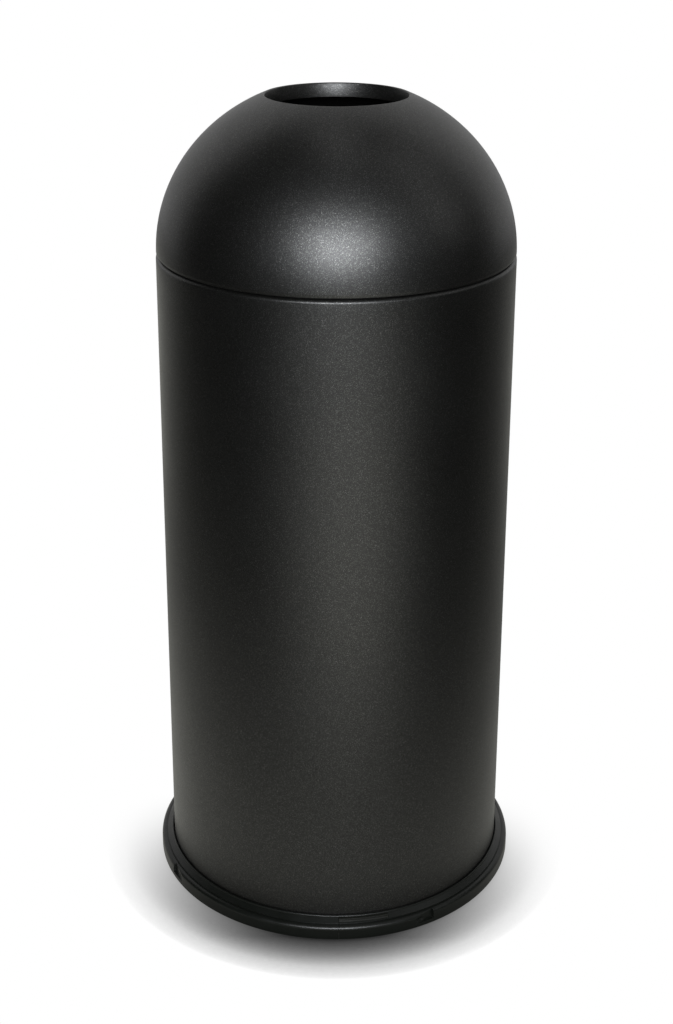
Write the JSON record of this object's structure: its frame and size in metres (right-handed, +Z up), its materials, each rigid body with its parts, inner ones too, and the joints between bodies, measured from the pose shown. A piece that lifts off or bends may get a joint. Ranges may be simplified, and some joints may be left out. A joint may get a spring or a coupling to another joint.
{
  "type": "dome top waste receptacle",
  "caption": "Tall round steel waste receptacle with a lift-off open dome, a moulded base ring and a galvanised liner that lifts out by its bail.",
  "frame": {"origin": "on the floor under the middle of the base ring", "axes": "+Z up along the receptacle's axis; -Y towards the front that the picture shows; +X to the right seen from the front"},
  "size_m": [0.4104, 0.4104, 0.8841],
  "materials": {
    "powder_coat": "fine-textured black powder coat with a metallic fleck, satin",
    "ring_plastic": "moulded black plastic, low gloss",
    "galvanised_sheet": "hot-dip galvanised sheet with spangle, satin",
    "zinc_plated_steel": "bright zinc-plated steel",
    "grip_vinyl": "black vinyl sleeve, matt"
  },
  "bodies": {
    "receptacle_body": {"base_ring": "ring_plastic", "ring_splice": "ring_plastic", "bottom_pan": "powder_coat", "body_shell": "powder_coat", "base_screw_1": "zinc_plated_steel", "base_screw_2": "zinc_plated_steel", "base_screw_3": "zinc_plated_steel", "base_screw_4": "zinc_plated_steel"},
    "liner": {"liner_wall": "galvanised_sheet", "liner_bottom": "galvanised_sheet", "liner_rim_wire": "zinc_plated_steel", "bail_ear_right": "galvanised_sheet", "bail_ear_left": "galvanised_sheet", "ear_rivet_1": "zinc_plated_steel", "ear_rivet_2": "zinc_plated_steel", "ear_rivet_3": "zinc_plated_steel", "ear_rivet_4": "zinc_plated_steel"},
    "bail": {"bail_wire": "zinc_plated_steel", "bail_grip": "grip_vinyl"},
    "dome": {"dome_skirt": "powder_coat", "dome_shell": "powder_coat"}
  },
  "joints": [
    {"name": "liner_lift", "type": "slide", "parent": "receptacle_body", "child": "liner", "axis": [0, 0, 1], "range_m": [0, 0.73]},
    {"name": "dome_lift", "type": "slide", "parent": "liner", "child": "dome", "axis": [0, 0, 1], "range_m": [0, 0.2]},
    {"name": "bail_swing", "type": "hinge", "parent": "liner", "child": "bail", "pos_m": [0, 0, 0.654], "axis": [-1, 0, 0], "range_deg": [0, 212]}
  ]
}
